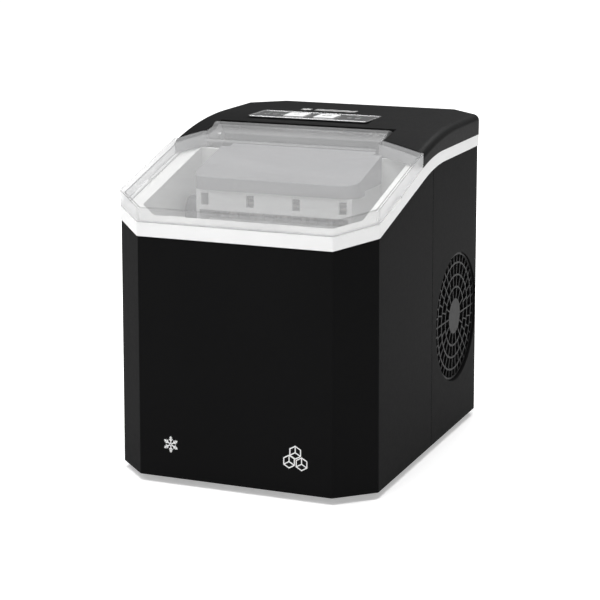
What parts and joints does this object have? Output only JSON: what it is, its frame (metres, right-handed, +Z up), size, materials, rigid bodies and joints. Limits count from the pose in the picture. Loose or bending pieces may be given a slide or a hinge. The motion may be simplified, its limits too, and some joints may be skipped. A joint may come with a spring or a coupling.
{
  "type": "countertop ice maker",
  "caption": "Compact countertop ice maker: chamfered black casing, white sloping band, clear hinged lid, top control panel and round side air grille.",
  "frame": {"origin": "on the ground, under the middle of the body in width and depth", "axes": "+Z up, front face towards -Y, air grille towards +X"},
  "size_m": [0.233, 0.3257, 0.2863],
  "materials": {
    "black_plastic": "satin, fine texture",
    "cover_plastic": "satin, fine texture",
    "band_plastic": "matt",
    "grille_plastic": "satin",
    "clear_lid": "smoky clear moulded plastic",
    "rubber": "matt",
    "steel": "plated",
    "panel_silver": "bright edge",
    "panel_gloss": "gloss",
    "key_plastic": "satin",
    "led_lens": "clear tinted",
    "circuit_board": "coated",
    "white_plastic": "satin",
    "module_light": "satin",
    "module_grey": "satin",
    "foam": "cut foam",
    "nickel_copper": "nickel plated",
    "copper": "drawn tube",
    "aluminium_fin": "plain fin stock",
    "black_steel": "gloss paint",
    "dark_part": "satin"
  },
  "bodies": {
    "housing": {"base_plate": "black_plastic", "base_screws": "steel", "board_parts": "dark_part", "board_posts": "white_plastic", "compressor": "black_steel", "compressor_bolts": "steel", "compressor_core": "black_steel", "compressor_cradle": "steel", "compressor_grommets": "rubber", "condenser_feet": "steel", "condenser_fins": "aluminium_fin", "condenser_tube": "copper", "control_board": "circuit_board", "cord_gland": "rubber", "drain_spout": "white_plastic", "electronics_tray": "white_plastic", "evaporator_tube": "nickel_copper", "fan_motor": "dark_part", "fan_shroud": "black_plastic", "filter_drier": "copper", "float_stem": "white_plastic", "foam_jacket": "foam", "front_housing": "black_plastic", "hinge_pins": "steel", "hot_gas_valve": "dark_part", "ice_chamber": "white_plastic", "ice_fingers": "nickel_copper", "ice_sensors": "white_plastic", "indicator_leds": "led_lens", "key_switches": "dark_part", "module_cover": "module_grey", "module_frame": "module_light", "motor_standoffs": "steel", "panel_bezel": "panel_silver", "panel_overlay": "panel_gloss", "power_board": "circuit_board", "pump_hose": "rubber", "rear_housing": "black_plastic", "rear_screws": "steel", "refrigerant_pipes": "copper", "rubber_feet": "rubber", "side_grille": "grille_plastic", "terminal_cover": "dark_part", "top_cover": "cover_plastic", "tray_motor": "dark_part", "trim_band": "band_plastic", "water_pump": "white_plastic"},
    "lid": {"lid": "clear_lid"},
    "power_key": {"power_button": "key_plastic"},
    "select_key": {"select_button": "key_plastic"},
    "fan": {"fan_rotor": "dark_part"},
    "tray": {"water_tray": "module_light", "tray_pins": "steel", "tray_crank": "white_plastic"},
    "pusher": {"ice_pusher": "white_plastic"},
    "basket": {"ice_basket": "white_plastic"},
    "float": {"level_float": "white_plastic"},
    "plug": {"drain_plug": "black_plastic"}
  },
  "joints": [
    {"name": "lid_hinge", "type": "hinge", "parent": "housing", "child": "lid", "pos_m": [0, 0.014, 0.27068], "axis": [-1, 0, 0], "range_deg": [0, 85]},
    {"name": "power_press", "type": "slide", "parent": "housing", "child": "power_key", "axis": [0, 0, -1], "range_m": [0, 0.0008], "stiffness_N_per_m": 400, "springref_m": -0.0005},
    {"name": "select_press", "type": "slide", "parent": "housing", "child": "select_key", "axis": [0, 0, -1], "range_m": [0, 0.0008], "stiffness_N_per_m": 400, "springref_m": -0.0005},
    {"name": "fan_spin", "type": "hinge", "parent": "housing", "child": "fan", "pos_m": [0.097, 0.0744, 0.1083], "axis": [1, 0, 0], "continuous": true},
    {"name": "tray_tilt", "type": "hinge", "parent": "housing", "child": "tray", "pos_m": [0, -0.042, 0.214], "axis": [-1, 0, 0], "range_deg": [0, 60]},
    {"name": "pusher_slide", "type": "slide", "parent": "housing", "child": "pusher", "axis": [0, -1, 0], "range_m": [0, 0.024]},
    {"name": "basket_lift", "type": "slide", "parent": "housing", "child": "basket", "axis": [0, 0, 1], "range_m": [0, 0.018]},
    {"name": "float_rise", "type": "slide", "parent": "housing", "child": "float", "axis": [0, 0, 1], "range_m": [0, 0.016]},
    {"name": "plug_pull", "type": "slide", "parent": "housing", "child": "plug", "axis": [-1, 0, 0], "range_m": [0, 0.013]}
  ],
  "couplings": [
    {"joint": "pusher_slide", "follows": "tray_tilt", "m_per_rad": 0.022918}
  ]
}
